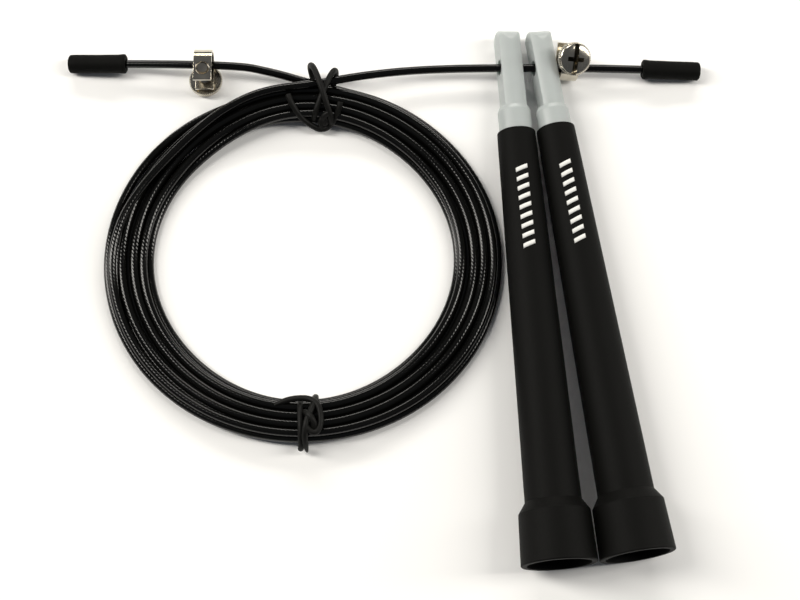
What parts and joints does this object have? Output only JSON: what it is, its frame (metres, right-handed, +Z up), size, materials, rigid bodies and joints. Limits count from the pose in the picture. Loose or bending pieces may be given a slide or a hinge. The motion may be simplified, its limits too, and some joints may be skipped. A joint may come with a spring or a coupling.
{
  "type": "speed jump rope",
  "caption": "Speed jump rope: coated steel cable in a tied coil, hollow tapered handles on nylon swivel heads, screw clamps and end caps on the cable.",
  "frame": {"origin": "on the table, at the middle of the box round the two handles", "axes": "+X along the straight stretch of cable towards its right end, +Y from the handles' bells to their swivel heads, +Z up"},
  "size_m": [0.1937, 0.1649, 0.0219],
  "materials": {
    "grip": "fine matt grain",
    "nylon": "translucent natural nylon",
    "steel": "zinc plated",
    "nickel": "nickel plated",
    "coating": "glossy coating over stranded steel",
    "vinyl": "matt moulded vinyl",
    "tie": "rubber covered wire"
  },
  "bodies": {
    "cable": {"cable_coil": "coating", "cable_left_tail": "coating", "cable_right_tail": "coating", "twist_tie_top": "tie", "twist_tie_bottom": "tie"},
    "swivel_left": {"swivel_head_left": "nylon", "retaining_screw_left": "steel", "retaining_washer_left": "steel"},
    "handle_left": {"grip_left": "grip"},
    "swivel_right": {"swivel_head_right": "nylon", "retaining_screw_right": "steel", "retaining_washer_right": "steel"},
    "handle_right": {"grip_right": "grip"},
    "clamp_left": {"clamp_strap_left": "nickel"},
    "clamp_washer_left": {"clamp_washer_left": "nickel"},
    "clamp_knob_left": {"clamp_screw_left": "nickel"},
    "clamp_right": {"clamp_strap_right": "nickel"},
    "clamp_washer_right": {"clamp_washer_right": "nickel"},
    "clamp_knob_right": {"clamp_screw_right": "nickel"},
    "cap_left": {"end_cap_left": "vinyl"},
    "cap_right": {"end_cap_right": "vinyl"}
  },
  "joints": [
    {"name": "swing_left", "type": "hinge", "parent": "cable", "child": "swivel_left", "pos_m": [-0.01982, 0.0703, 0.00498], "axis": [-1, 0, 0], "range_deg": [0, 170]},
    {"name": "spin_left", "type": "hinge", "parent": "swivel_left", "child": "handle_left", "pos_m": [-0.01823, 0.04898, 0.0058], "axis": [-0.0742, 0.9965, -0.0393], "continuous": true},
    {"name": "swing_right", "type": "hinge", "parent": "cable", "child": "swivel_right", "pos_m": [-0.00941, 0.0703, 0.00498], "axis": [-1, 0, 0], "range_deg": [0, 170]},
    {"name": "spin_right", "type": "hinge", "parent": "swivel_right", "child": "handle_right", "pos_m": [-0.00632, 0.05025, 0.0058], "axis": [-0.1523, 0.9875, -0.0393], "continuous": true},
    {"name": "clamp_slide_left", "type": "slide", "parent": "cable", "child": "clamp_left", "axis": [-0.9948, 0.0355, -0.0959], "range_m": [-0.002, 0.012]},
    {"name": "clamp_travel_left", "type": "slide", "parent": "clamp_left", "child": "clamp_washer_left", "axis": [0, 0, -1], "range_m": [0, 0.0021]},
    {"name": "clamp_turn_left", "type": "hinge", "parent": "clamp_washer_left", "child": "clamp_knob_left", "pos_m": [-0.113, 0.06737, 0.00823], "axis": [0, 0, -1], "range_deg": [0, 1080]},
    {"name": "clamp_slide_right", "type": "slide", "parent": "swivel_right", "child": "clamp_right", "axis": [1, 0, 0], "range_m": [0, 0.009]},
    {"name": "clamp_travel_right", "type": "slide", "parent": "clamp_right", "child": "clamp_washer_right", "axis": [0.1986, -0.4695, 0.8603], "range_m": [0, 0.0021]},
    {"name": "clamp_turn_right", "type": "hinge", "parent": "clamp_washer_right", "child": "clamp_knob_right", "pos_m": [-0.00187, 0.07357, 0.00607], "axis": [0.1986, -0.4695, 0.8603], "range_deg": [0, 1080]},
    {"name": "cap_pull_left", "type": "slide", "parent": "cable", "child": "cap_left", "axis": [-0.9948, 0.0355, -0.0959], "range_m": [0, 0.02]},
    {"name": "cap_pull_right", "type": "slide", "parent": "cable", "child": "cap_right", "axis": [0.997, -0.008, -0.0773], "range_m": [0, 0.02]}
  ],
  "couplings": [
    {"joint": "clamp_turn_left", "follows": "clamp_travel_left", "rad_per_m": 8976},
    {"joint": "clamp_turn_right", "follows": "clamp_travel_right", "rad_per_m": 8976}
  ]
}
